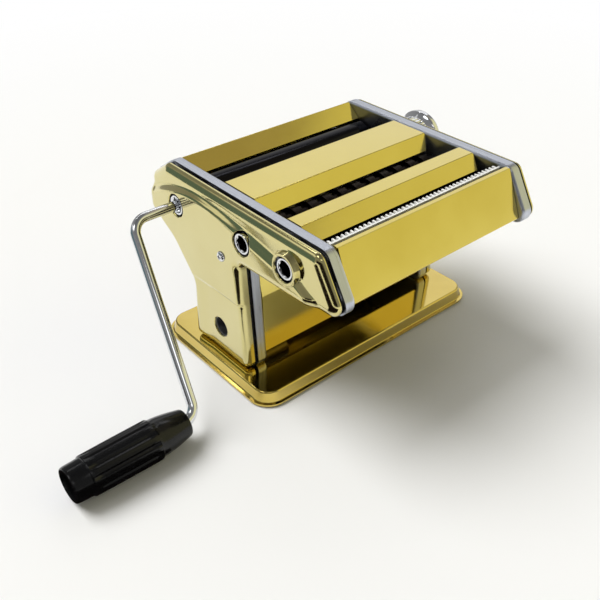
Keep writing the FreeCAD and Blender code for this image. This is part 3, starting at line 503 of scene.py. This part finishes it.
def buildCover(side, shape):
    holes = []
    if side < 0:
        for joint, boss in (("drive_roller_turn", False), ("wide_rear_turn", False), ("fine_rear_turn", True)):
            place = joints[joint]["pos_m"]
            holes.append(((place[1] / mm, place[2] / mm), shape["holeRadius"], boss))
        lowest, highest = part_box("clamp_socket")
        holes.append((((lowest.y + highest.y) / 2 / mm, (lowest.z + highest.z) / 2 / mm),
                      shape["clampRadius"], False))
    else:
        place = joints["regulator_turn"]["pos_m"]
        holes.append(((place[1] / mm, place[2] / mm), 7.1, False))
    lowest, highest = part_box("cover_screws")
    holes.append((((lowest.y + highest.y) / 2 / mm, (lowest.z + highest.z) / 2 / mm), shape["screwRadius"], False))
    outline = roundedOutline(shape["corners"], shape["rimGap"], shape["pitch"])
    radius, rings = shape["edgeDrop"], shape["rings"]
    share = easeCurve((outline[:, 1] - 84) / 14)[:, None]  # the rounding is wider on the arm than on the leg
    reach = shape["legEdgeWidth"] + (shape["edgeWidth"] - shape["legEdgeWidth"]) * share
    before, after = np.roll(outline, 1, axis=0), np.roll(outline, -1, axis=0)
    tangent = (after - before) / np.linalg.norm(after - before, axis=1)[:, None]
    inwards = np.stack([tangent[:, 1], -tangent[:, 0]], axis=1)
    loops, drops = [], []
    for ring in range(rings + 1):
        angle = math.pi / 2 * ring / rings
        loops.append(outline + inwards * reach * (1 - math.cos(angle)))
        drops.append(radius * (1 - math.sin(angle)))
    inner = loops[-1]
    pitch = shape["pitch"]
    ys = np.arange(outline[:, 0].min(), outline[:, 0].max(), pitch)
    zs = np.arange(outline[:, 1].min(), outline[:, 1].max(), pitch * 0.866)
    grid = np.array([(y + (row % 2) * pitch / 2, z) for row, z in enumerate(zs) for y in ys])
    keep = insideOutline(grid, inner) & (nearestDistance(grid, inner) > pitch * 0.55)
    grid = grid[keep]
    circles = []
    for centre, holeRadius, boss in holes:
        steps = 56 if holeRadius > 3 else 24
        extra = [0.0, 0.12, 0.3, 0.6, 1.1] if holeRadius > 3 else [0.0, 0.8]
        if boss:
            extra += [1.5, 1.8, 2.1, 2.4, 2.7, 3.0]
        for out in extra:
            turns = np.arange(steps) * 2 * math.pi / steps
            circles.append((np.array(centre) + (holeRadius + out) * np.stack([np.cos(turns), np.sin(turns)], axis=1), out == 0))
        away = np.linalg.norm(grid - np.array(centre), axis=1)
        grid = grid[away > holeRadius + extra[-1] + 0.6]
    verts = [Vector(p) for p in inner]
    edges = [(i, (i + 1) % len(inner)) for i in range(len(inner))]
    for circle, isEdge in circles:
        start = len(verts)
        verts += [Vector(p) for p in circle]
        if isEdge:
            edges += [(start + i, start + (i + 1) % len(circle)) for i in range(len(circle))]
    verts += [Vector(p) for p in grid]
    flat, _, triangles, _, _, _ = delaunay_2d_cdt(verts, edges, [], 0, 1e-5)
    flat = np.array([tuple(p) for p in flat])
    triangles = [tuple(t) for t in triangles]
    centres = np.array([flat[list(t)].mean(axis=0) for t in triangles])
    good = insideOutline(centres, inner)
    for centre, holeRadius, boss in holes:
        good &= np.linalg.norm(centres - np.array(centre), axis=1) > holeRadius * math.cos(math.pi / 24) - 0.02
    triangles = [t for t, ok in zip(triangles, good) if ok]
    level = coverLevel(flat, holes, shape)
    points = [(side * u * mm, p[0] * mm, p[1] * mm) for p, u in zip(flat, level)]
    faces = list(triangles)
    count = len(outline)
    innerLevel = coverLevel(inner, holes, shape)
    ringStart = []
    for loop, drop in list(zip(loops, drops))[:-1]:
        ringStart.append(len(points))
        points += [(side * (u - drop) * mm, p[0] * mm, p[1] * mm) for p, u in zip(loop, innerLevel)]
    edgeLevel = innerLevel - radius
    wallSteps = 3
    wallStart = []
    for step in range(1, wallSteps + 1):
        wallStart.append(len(points))
        share = step / wallSteps
        points += [(side * (u + (shape["rim"] - u) * share) * mm, p[0] * mm, p[1] * mm)
                   for p, u in zip(outline, edgeLevel)]
    for level in (shape["rim"], shape["rimFoot"]):  # the stepped-in rim behind the gold edge; its near-black colour is painted shade of the gap between cover and flange
        wallStart.append(len(points))
        points += [(side * level * mm, p[0] * mm, p[1] * mm) for p in outline + inwards * shape["rimStep"]]
    chain = wallStart[::-1] + ringStart + [0]
    for lower, upper in zip(chain, chain[1:]):
        faces += [(lower + i, lower + (i + 1) % count, upper + (i + 1) % count, upper + i) for i in range(count)]
    piece = meshPiece("cover", points, faces)
    editMode(piece)
    bpy.ops.mesh.select_all(action="SELECT")
    bpy.ops.mesh.remove_doubles(threshold=1e-6)
    bpy.ops.mesh.normals_make_consistent(inside=False)
    objectMode()
    facing = sum(f.normal.x * f.area for f in piece.data.polygons)
    if facing * side < 0:
        editMode(piece)
        bpy.ops.mesh.select_all(action="SELECT")
        bpy.ops.mesh.flip_normals()
        objectMode()
    # the rim faces get the second, near-black material: painted shade of the gap behind the cover
    edge = (shape["rim"] + 0.05) * mm
    for face in piece.data.polygons:
        if all(abs(piece.data.vertices[index].co.x) < edge for index in face.vertices):
            face.material_index = 1
    applyModifier(piece, "SOLIDIFY", thickness=shape["wall"] * mm, offset=-1.0, use_even_offset=False)
    smoothByAngle(piece, 50)
    return piece


for side, node in ((-1, "left_cover"), (1, "right_cover")):
    cover = buildCover(side, coverShape)
    finishPiece(cover, node + "_pressed", "root", "gold_sheet", finishes["coverGold"], node)
    cover.data.materials.append(finishes["bushPlastic"])  # near-black painted shade on the rim, standing for the shadowed gap behind the cover's edge
    print(node, "triangles", sum(len(f.vertices) - 2 for f in cover.data.polygons))


crankShape = {
    "rodRadius": 3.5, "firstBend": (-129.0, 41.0, 110.0), "secondBend": (-147.8, -46.5, 14.0),
    "firstRadius": 12.0, "secondRadius": 10.0, "sides": 40,
}


def bentRod(route, radii, rodRadius, sides):
    start, heading = route[0], (route[1] - route[0]).normalized()
    turn = Vector((0, 0, 1)).rotation_difference(heading).to_euler()
    bpy.ops.mesh.primitive_circle_add(vertices=sides, radius=rodRadius, location=start, rotation=turn)
    rod = bpy.context.active_object
    placeInMesh(rod)
    bpy.ops.object.mode_set(mode="EDIT")
    bpy.ops.mesh.select_mode(type="EDGE")
    bpy.ops.mesh.select_all(action="SELECT")
    here = start
    for index, radius in enumerate(radii):
        corner = route[index + 1]
        back = (route[index] - corner).normalized()
        on = (route[index + 2] - corner).normalized()
        half = back.angle(on) / 2
        reach = radius / math.tan(half)
        enter = corner + back * reach
        centre = corner + (back + on).normalized() * (radius / math.sin(half))
        bpy.ops.mesh.extrude_region_move(TRANSFORM_OT_translate={"value": enter - here})
        axis = (-back).cross(on).normalized()
        angle = math.pi - 2 * half
        bpy.ops.mesh.spin(steps=max(8, int(math.degrees(angle) / 4)), angle=-angle, center=centre, axis=axis, dupli=False)
        here = corner + on * reach
    bpy.ops.mesh.extrude_region_move(TRANSFORM_OT_translate={"value": route[-1] - here})
    bpy.ops.mesh.select_all(action="SELECT")
    bpy.ops.mesh.remove_doubles(threshold=1e-6)
    bpy.ops.mesh.fill_holes(sides=0)
    bpy.ops.mesh.normals_make_consistent(inside=False)
    objectMode()
    return rod


def buildCrank(shape):
    lowest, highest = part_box("crank_rod")
    place = joints["drive_roller_turn"]["pos_m"]
    start = Vector((highest.x, place[1], place[2]))
    bends = [Vector(shape["firstBend"]) * mm, Vector(shape["secondBend"]) * mm]
    end = Vector((lowest.x, bends[1].y, bends[1].z))
    rod = bentRod([start] + bends + [end], [shape["firstRadius"] * mm, shape["secondRadius"] * mm],
                  shape["rodRadius"] * mm, shape["sides"])
    applyModifier(rod, "BEVEL", width=0.4 * mm, segments=2, limit_method="ANGLE", angle_limit=math.radians(60))
    smoothByAngle(rod, 40)
    return rod


crankRod = buildCrank(crankShape)
finishPiece(crankRod, "crank_rod_bent", "crank", "crank_chrome", finishes["crankChrome"], "crank_rod")


def latheProfile(profile, centre, steps):
    # spins a chain of (x, radius) points about the X axis through centre
    piece = meshPiece("turned", [(x * mm, centre.y, centre.z + r * mm) for x, r in profile], [])
    editMode(piece, "VERT")
    mesh = bmesh.from_edit_mesh(piece.data)
    mesh.verts.ensure_lookup_table()
    for index in range(len(profile) - 1):
        mesh.edges.new((mesh.verts[index], mesh.verts[index + 1]))
    bmesh.update_edit_mesh(piece.data)
    bpy.ops.mesh.select_all(action="SELECT")
    bpy.ops.mesh.spin(steps=steps, angle=2 * math.pi, center=centre, axis=(1, 0, 0), dupli=False)
    bpy.ops.mesh.select_all(action="SELECT")
    bpy.ops.mesh.remove_doubles(threshold=2e-6)
    bpy.ops.mesh.normals_make_consistent(inside=False)
    objectMode()
    return piece


gripShape = {
    "length": 80.6, "waist": 23.0, "tail": 11.5, "body": 13.5, "ribs": 12, "grooveDepth": 0.9,
    "mouth": 8.6, "mouthDepth": 13.0, "bore": 3.58,
}


def buildGrip(shape):
    lowest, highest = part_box("crank_grip")
    centre = Vector((0, (lowest.y + highest.y) / 2, (lowest.z + highest.z) / 2))
    near, far = highest.x / mm, lowest.x / mm
    body = shape["body"]
    waist, tail = near - shape["waist"], far + shape["tail"]
    profile = [(near, shape["bore"]), (near, 8.2), (near - 0.3, 8.75), (near - 0.9, 9.15), (near - 2.0, 9.45)]
    for k in range(1, 7):  # the taper by the crank swells slightly
        share = k / 7
        profile.append((near - 2.0 - (shape["waist"] - 2.4) * share, 9.45 + (body - 0.95 - 9.45) * math.sin(share * 1.45) / math.sin(1.45)))
    profile += [(waist + 0.25, body - 0.95), (waist, body - 0.85), (waist - 0.35, body - 0.25), (waist - 0.9, body)]
    steps = 14
    for k in range(1, steps):
        x = waist - 0.9 + (tail + 0.9 - waist + 0.9) * k / steps
        profile.append((x, body - 0.45 * (k / steps) ** 2))
    profile += [(tail + 0.9, body - 0.45), (tail + 0.35, body - 0.7), (tail, body - 1.3), (tail - 0.3, body - 1.42)]
    profile += [(far + 2.4, 11.75), (far + 1.0, 11.5), (far + 0.35, 11.2), (far, 10.6), (far, shape["mouth"] + 0.5),
                (far + 0.25, shape["mouth"] + 0.12), (far + 0.7, shape["mouth"]),
                (far + shape["mouthDepth"] - 0.6, shape["mouth"] - 0.15),
                (far + shape["mouthDepth"], shape["mouth"] - 0.7), (far + shape["mouthDepth"], shape["bore"]),
                (near, shape["bore"])]
    grip = latheProfile(profile, centre, 144)
    pitch = 2 * math.pi / shape["ribs"]
    for vertex in grip.data.vertices:  # grooves between the ribs
        x = vertex.co.x / mm
        offset = Vector((0, vertex.co.y - centre.y, vertex.co.z - centre.z))
        if not tail + 0.2 < x < waist + 0.1 or offset.length < 10 * mm:
            continue
        turn = math.atan2(offset.z, offset.y) / pitch
        across = abs(turn - round(turn)) * pitch * body
        groove = max(0.0, 1 - (across / 1.5) ** 2) ** 0.6
        ends = min(1.0, (waist - 1.4 - x) / 1.2, (x - tail - 1.4) / 1.2)
        offset.length -= shape["grooveDepth"] * mm * groove * max(0.0, ends)
        vertex.co.y, vertex.co.z = centre.y + offset.y, centre.z + offset.z
    smoothByAngle(grip, 32)
    return grip


grip = buildGrip(gripShape)
finishPiece(grip, "crank_grip_ribbed", "grip", "grip_black", finishes["gripPlastic"], "crank_grip")
print("crank made")


dialShape = {"drum": 16.5, "rim": 20.0, "settings": 7, "numberHeight": 3.4, "numberRadius": 15.6, "ribs": 36}


def buildDial(shape):
    lowest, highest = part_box("regulator_knob")
    centre = Vector((0, (lowest.y + highest.y) / 2, (lowest.z + highest.z) / 2))
    near, far = lowest.x / mm, highest.x / mm
    drum, rim = shape["drum"], shape["rim"]
    rimIn = near + 9.0
    profile = [(near, 5.0), (near, drum - 1.4), (near + 0.3, drum - 0.7), (near + 0.9, drum - 0.15), (near + 1.6, drum)]
    profile += [(near + 1.6 + (rimIn - near - 1.6) * k / 6, drum) for k in range(1, 7)]
    profile += [(rimIn + 1.2, rim - 2.2), (rimIn + 2.6, rim - 0.7), (rimIn + 3.2, rim - 0.2), (rimIn + 3.8, rim)]
    profile += [(far - 1.8, rim), (far - 1.0, rim - 0.2), (far - 0.4, rim - 0.7), (far, rim - 1.5), (far, 12.4),
                (far - 0.4, 11.9), (far - 2.4, 10.9), (far - 3.0, 10.2), (far - 3.0, 0.4)]
    profile += [(far - 3.0, 0.0)]
    knob = latheProfile(profile, centre, 144)
    pitch = 2 * math.pi / shape["ribs"]
    for vertex in knob.data.vertices:  # fine grip grooves on the drum
        x = vertex.co.x / mm
        offset = Vector((0, vertex.co.y - centre.y, vertex.co.z - centre.z))
        if not near + 1.2 < x < rimIn - 0.2 or offset.length < (drum - 1) * mm:
            continue
        turn = math.atan2(offset.z, offset.y) / pitch
        groove = max(0.0, math.cos(2 * math.pi * turn)) ** 4
        offset.length -= 0.5 * mm * groove
        vertex.co.y, vertex.co.z = centre.y + offset.y, centre.z + offset.z
    smoothByAngle(knob, 35)
    return knob, centre, far


knob, dialCentre, dialFace = buildDial(dialShape)
editMode(knob, "EDGE")
bpy.ops.mesh.select_all(action="SELECT")
bpy.ops.mesh.fill_holes(sides=0)
bpy.ops.mesh.normals_make_consistent(inside=False)
objectMode()
finishPiece(knob, "regulator_knob_dial", "regulator", "crank_chrome", finishes["crankChrome"], "regulator_knob")


def buildNumbers(shape, centre, face):
    made = []
    for setting in range(shape["settings"]):
        turn = math.radians(90 - 240 * setting / (shape["settings"] - 1))
        bpy.ops.object.text_add(location=(0, 0, 0))
        figure = bpy.context.active_object
        figure.data.body = str(setting + 1)
        figure.data.size = shape["numberHeight"] * mm * 1.4
        figure.data.align_x, figure.data.align_y = "CENTER", "CENTER"
        figure.data.extrude = 0.06 * mm
        radius = shape["numberRadius"] * mm
        figure.location = (face * mm + 0.03 * mm, centre.y + radius * math.cos(turn), centre.z + radius * math.sin(turn))
        activate(figure)
        bpy.ops.object.convert(target="MESH")
        figure = bpy.context.active_object
        outward = Euler((math.pi / 2, 0, math.pi / 2)).to_matrix()
        spin = Euler((turn - math.pi / 2, 0, 0)).to_matrix()
        figure.rotation_euler = (spin @ outward).to_euler()
        placeInMesh(figure)
        made.append(figure)
    deselectAll()
    for figure in made:
        figure.select_set(True)
    bpy.context.view_layer.objects.active = made[0]
    bpy.ops.object.join()
    return made[0]


dialNumbers = buildNumbers(dialShape, dialCentre, dialFace)
finishPiece(dialNumbers, "dial_numbers", "regulator", "bush_plastic", finishes["bushPlastic"])
print("dial made")


cameraPlace = {
    "position": (-333.07, -364.91, 361.49), "yaw": 40.5, "down": 35.36, "roll": 0.15, "lens": 47.13,
}


def buildCamera(place):
    data = bpy.data.cameras.new("viewpoint")
    camera = bpy.data.objects.new("viewpoint", data)
    scene.collection.objects.link(camera)
    camera.location = Vector(place["position"]) * mm
    camera.rotation_euler = (math.radians(90 - place["down"]), 0, math.radians(-place["yaw"]))
    data.lens, data.sensor_width, data.sensor_fit = place["lens"], 36.0, "HORIZONTAL"
    data.clip_start, data.clip_end = 0.01, 50
    scene.camera = camera


softBoxes = [  # azimuth and half width, elevation from and to, softness (degrees), strength, tint
    (44, 26, 16, 45, 5, 0.97, (1.0, 1.0, 1.0)),        # tall panel behind, for the flat tops
    (-45, 14, 28, 42, 4, 0.90, (1.0, 1.0, 1.0)),       # panel at the rear left
    (100, 30, 51, 64, 3, 0.40, (1.0, 0.86, 0.60)),     # dim warm ceiling, for the hopper's back
    (126, 32, -20, 50, 3, 0.80, (1.0, 0.945, 0.53)),   # gold reflector at the front right
    (-120, 36, -22, 20, 6, 0.012, (1.0, 0.8, 0.8)),    # dark opening on the left
    (-150, 16, 41, 50, 3, 1.5, (1.0, 1.0, 1.0)),       # lamp above the viewer
    (30, 40, 50.5, 53.0, 1.5, 4.5, (1.0, 1.0, 1.0)),   # narrow strip lamp above the panel
    (-80, 18, 54, 70, 4, 2.6, (1.0, 1.0, 1.0)),        # small lamp high on the left
]
ambient = {"horizon": 0.32, "zenith": 0.12}


def softBoxGroup():
    group, start, end = newGroup(
        "softBox", [("Azimuth", "NodeSocketFloat", 0.0), ("Elevation", "NodeSocketFloat", 0.0),
                    ("Centre", "NodeSocketFloat", 0.0), ("Half Width", "NodeSocketFloat", 20.0),
                    ("Low", "NodeSocketFloat", 0.0), ("High", "NodeSocketFloat", 40.0),
                    ("Softness", "NodeSocketFloat", 4.0)],
        [("Mask", "NodeSocketFloat")])
    sockets = start.outputs
    offset = addMath(group, "WRAP", addMath(group, "SUBTRACT", sockets["Azimuth"], sockets["Centre"]), 180.0, -180.0)
    across = addMath(group, "SUBTRACT", sockets["Half Width"], addMath(group, "ABSOLUTE", offset, None))
    above = addMath(group, "SUBTRACT", sockets["Elevation"], sockets["Low"])
    below = addMath(group, "SUBTRACT", sockets["High"], sockets["Elevation"])
    mask = 1.0
    for inside in (across, above, below):
        step = addNode(group, "ShaderNodeMapRange", {"From Min": 0.0}, interpolation_type="SMOOTHSTEP")
        group.links.new(addMath(group, "ADD", inside, addMath(group, "MULTIPLY", sockets["Softness"], 0.5)),
                        step.inputs["Value"])
        group.links.new(sockets["Softness"], step.inputs["From Max"])
        mask = addMath(group, "MULTIPLY", step.outputs["Result"], mask)
    group.links.new(mask, end.inputs["Mask"])
    return group


def buildWorld(boxes, base):
    world = bpy.data.worlds.new("studio")
    scene.world = world
    world.use_nodes = True
    tree = world.node_tree
    tree.nodes.clear()
    end = addNode(tree, "ShaderNodeOutputWorld")
    place = addNode(tree, "ShaderNodeSeparateXYZ")
    tree.links.new(addNode(tree, "ShaderNodeTexCoord").outputs["Generated"], place.inputs[0])
    azimuth = addMath(tree, "MULTIPLY", addMath(tree, "ARCTAN2", place.outputs["X"], place.outputs["Y"]),
                      math.degrees(1.0))
    elevation = addMath(tree, "MULTIPLY", addMath(tree, "ARCSINE", place.outputs["Z"], None), math.degrees(1.0))
    total = mixColors(tree, remap(tree, elevation, 0.0, 90.0), (base["horizon"],) * 3 + (1,),
                      (base["zenith"],) * 3 + (1,))
    group = softBoxGroup()
    for centre, halfWidth, low, high, softness, strength, tint in boxes:
        box = useGroup(tree, group, Centre=centre, Half_Width=halfWidth, Low=low, High=high, Softness=softness)
        tree.links.new(azimuth, box.inputs["Azimuth"])
        tree.links.new(elevation, box.inputs["Elevation"])
        mix = addNode(tree, "ShaderNodeMix", data_type="RGBA")
        tree.links.new(box.outputs["Mask"], mix.inputs["Factor"])
        tree.links.new(total, mix.inputs[6])
        mix.inputs[7].default_value = [part * strength for part in tint] + [1]
        total = mix.outputs[2]
    lit = addNode(tree, "ShaderNodeBackground", {"Strength": 1.0})
    tree.links.new(total, lit.inputs["Color"])
    white = addNode(tree, "ShaderNodeBackground", {"Strength": 1.0, "Color": (1, 1, 1, 1)})
    rays = addNode(tree, "ShaderNodeLightPath")
    mix = addNode(tree, "ShaderNodeMixShader")
    tree.links.new(rays.outputs["Is Camera Ray"], mix.inputs[0])
    tree.links.new(lit.outputs[0], mix.inputs[1])
    tree.links.new(white.outputs[0], mix.inputs[2])
    tree.links.new(mix.outputs[0], end.inputs["Surface"])


def buildFloor():
    bpy.ops.mesh.primitive_plane_add(size=16, location=(0, 0, 0))
    floor = bpy.context.active_object
    floor.name = "studioFloor"
    material, tree, shader = newMaterial("paperFloor", Roughness=0.9, Base_Color=(0.86, 0.86, 0.86, 1))
    shader.inputs["Specular IOR Level"].default_value = 0.0
    place = addNode(tree, "ShaderNodeTexCoord")
    away = addNode(tree, "ShaderNodeVectorMath", operation="LENGTH")
    tree.links.new(place.outputs["Object"], away.inputs[0])
    fade = remap(tree, away.outputs["Value"], 0.35, 0.9)
    rays = addNode(tree, "ShaderNodeLightPath")
    seen = addMath(tree, "MAXIMUM", rays.outputs["Is Camera Ray"],
                   addMath(tree, "MAXIMUM", rays.outputs["Is Glossy Ray"], rays.outputs["Is Transmission Ray"]))
    glow = addNode(tree, "ShaderNodeEmission", {"Color": (1, 1, 1, 1), "Strength": 1.0})
    mix = addNode(tree, "ShaderNodeMixShader")
    tree.links.new(addMath(tree, "MULTIPLY", fade, seen), mix.inputs[0])
    tree.links.new(shader.outputs[0], mix.inputs[1])
    tree.links.new(glow.outputs[0], mix.inputs[2])
    tree.links.new(mix.outputs[0], tree.nodes["Material Output"].inputs["Surface"])
    paint(floor, material)


cards = {  # corners in mm and tint; only reflections see these
    "floorCard": ([(-900, 40, 2), (-330, 40, 2), (-170, -60, 2), (-150, -200, 2), (-220, -460, 2), (-900, -460, 2)],
                  (0.012, 0.008, 0.008, 1)),
    "greenCard": ([(-620, 90, 5), (-380, 560, 5), (-380, 560, 360), (-620, 90, 360)], (0.12, 0.175, 0.19, 1)),
}


def buildCards(cards):
    for name, (corners, tint) in cards.items():
        material, tree, shader = newMaterial(name, Base_Color=(0, 0, 0, 1), Emission_Color=tint,
                                             Emission_Strength=1.0, Roughness=1.0, Specular_IOR_Level=0.0)
        card = meshPiece(name, [Vector(corner) * mm for corner in corners], [tuple(range(len(corners)))])
        paint(card, material)
        card.visible_camera = False
        card.visible_diffuse = False
        card.visible_shadow = False


keyLight = {"energy": 2.75, "spread": 38, "height": 52, "from": 118}  # sun strength, softness, and its place in degrees


def buildKey(light):
    data = bpy.data.lights.new("softKey", "SUN")
    data.energy, data.angle = light["energy"], math.radians(light["spread"])
    key = bpy.data.objects.new("softKey", data)
    scene.collection.objects.link(key)
    up, turn = math.radians(light["height"]), math.radians(light["from"])
    towards = Vector((math.cos(up) * math.cos(turn), math.cos(up) * math.sin(turn), math.sin(up)))
    key.rotation_euler = towards.to_track_quat("Z", "Y").to_euler()
    key.visible_glossy = False


buildCamera(cameraPlace)
buildWorld(softBoxes, ambient)
buildFloor()
buildCards(cards)
buildKey(keyLight)
scene.view_settings.view_transform = "Standard"
print("studio made")
